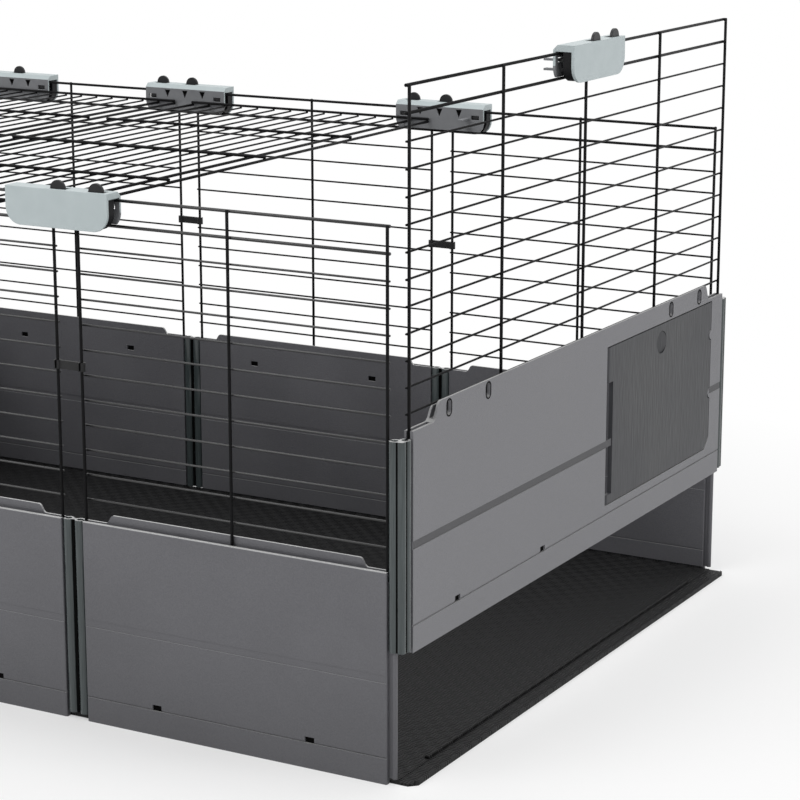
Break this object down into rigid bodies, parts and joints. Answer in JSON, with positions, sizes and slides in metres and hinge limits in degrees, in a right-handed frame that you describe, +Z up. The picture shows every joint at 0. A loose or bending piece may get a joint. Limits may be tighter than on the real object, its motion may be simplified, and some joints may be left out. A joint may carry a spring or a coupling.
{
  "type": "rabbit cage",
  "caption": "Modular small-pet cage: plastic skirting, welded wire upper walls, clipped roof grilles, floor mat, side hatches and an end wall that lifts for cleaning.",
  "frame": {"origin": "centre of the cage on the ground", "axes": "+X along the cage towards the lifting end wall, +Z up, front long wall towards -Y"},
  "size_m": [1.072, 0.746, 0.6325],
  "materials": {
    "mat_black": "textured mat",
    "skirting_grey": "fine grained moulding",
    "hatch_grey": "fine grained moulding",
    "strip_grey": "smooth extrusion",
    "tie_black": "smooth",
    "wire_black": "powder coated",
    "clip_light": "satin",
    "latch_black": "smooth"
  },
  "bodies": {
    "cage": {"back_joint_strip_left": "strip_grey", "back_joint_strip_right": "strip_grey", "back_skirting_left": "skirting_grey", "back_skirting_middle": "skirting_grey", "back_skirting_right": "skirting_grey", "back_wire_panel_left": "wire_black", "back_wire_panel_middle": "wire_black", "back_wire_panel_right": "wire_black", "back_wire_tie_left": "tie_black", "back_wire_tie_right": "tie_black", "clip_cores_fixed": "latch_black", "clip_shell_back_left": "clip_light", "clip_shell_back_middle": "clip_light", "clip_shell_back_right": "clip_light", "clip_shell_front_left": "clip_light", "clip_shell_front_middle": "clip_light", "clip_shell_front_right": "clip_light", "clip_shell_left_end": "clip_light", "corner_strip_back_left": "strip_grey", "corner_strip_front_left": "strip_grey", "floor_mat": "mat_black", "front_joint_strip_left": "strip_grey", "front_joint_strip_right": "strip_grey", "front_skirting_left": "skirting_grey", "front_skirting_middle": "skirting_grey", "front_skirting_right": "skirting_grey", "front_wire_panel_left": "wire_black", "front_wire_panel_middle": "wire_black", "front_wire_panel_right": "wire_black", "front_wire_tie_left": "tie_black", "front_wire_tie_right": "tie_black", "left_end_wall": "skirting_grey", "left_end_wire_panel": "wire_black"},
    "lift_wall": {"right_end_wall": "skirting_grey", "right_end_wire_panel": "wire_black", "corner_strip_front_right": "strip_grey", "corner_strip_back_right": "strip_grey", "clip_shell_right_end": "clip_light", "clip_core_right_end": "latch_black"},
    "right_hatch": {"right_hatch": "hatch_grey"},
    "left_hatch": {"left_hatch": "hatch_grey"},
    "roof_left": {"roof_grille_left": "wire_black"},
    "roof_middle": {"roof_grille_middle": "wire_black"},
    "latch_back_left": {"clip_latch_back_left": "latch_black"},
    "latch_back_middle": {"clip_latch_back_middle": "latch_black"},
    "latch_back_right": {"clip_latch_back_right": "latch_black"},
    "latch_front_left": {"clip_latch_front_left": "latch_black"},
    "latch_front_middle": {"clip_latch_front_middle": "latch_black"},
    "latch_front_right": {"clip_latch_front_right": "latch_black"},
    "latch_left_end": {"clip_latch_left_end": "latch_black"},
    "latch_right_end": {"clip_latch_right_end": "latch_black"}
  },
  "joints": [
    {"name": "end_wall_lift", "type": "slide", "parent": "cage", "child": "lift_wall", "axis": [0, 0, 1], "range_m": [-0.118, 0.055]},
    {"name": "right_hatch_hinge", "type": "hinge", "parent": "lift_wall", "child": "right_hatch", "pos_m": [0.5234, 0.0558, 0.2], "axis": [0, 0, -1], "range_deg": [0, 105]},
    {"name": "left_hatch_hinge", "type": "hinge", "parent": "cage", "child": "left_hatch", "pos_m": [-0.5234, -0.0558, 0.1], "axis": [0, 0, -1], "range_deg": [0, 105]},
    {"name": "roof_left_hinge", "type": "hinge", "parent": "cage", "child": "roof_left", "pos_m": [-0.348, 0.348, 0.4875], "axis": [-1, 0, 0], "range_deg": [0, 88]},
    {"name": "roof_middle_hinge", "type": "hinge", "parent": "cage", "child": "roof_middle", "pos_m": [0, 0.348, 0.4875], "axis": [-1, 0, 0], "range_deg": [0, 88]},
    {"name": "latch_back_left_slide", "type": "slide", "parent": "cage", "child": "latch_back_left", "axis": [0, -1, 0], "range_m": [0, 0.0056]},
    {"name": "latch_back_middle_slide", "type": "slide", "parent": "cage", "child": "latch_back_middle", "axis": [0, -1, 0], "range_m": [0, 0.0056]},
    {"name": "latch_back_right_slide", "type": "slide", "parent": "cage", "child": "latch_back_right", "axis": [0, -1, 0], "range_m": [0, 0.0056]},
    {"name": "latch_front_left_slide", "type": "slide", "parent": "cage", "child": "latch_front_left", "axis": [0, 1, 0], "range_m": [0, 0.0056]},
    {"name": "latch_front_middle_slide", "type": "slide", "parent": "cage", "child": "latch_front_middle", "axis": [0, 1, 0], "range_m": [0, 0.0056]},
    {"name": "latch_front_right_slide", "type": "slide", "parent": "cage", "child": "latch_front_right", "axis": [0, 1, 0], "range_m": [0, 0.0056]},
    {"name": "latch_left_end_slide", "type": "slide", "parent": "cage", "child": "latch_left_end", "axis": [1, 0, 0], "range_m": [0, 0.0056]},
    {"name": "latch_right_end_slide", "type": "slide", "parent": "lift_wall", "child": "latch_right_end", "axis": [-1, 0, 0], "range_m": [0, 0.0056]}
  ]
}
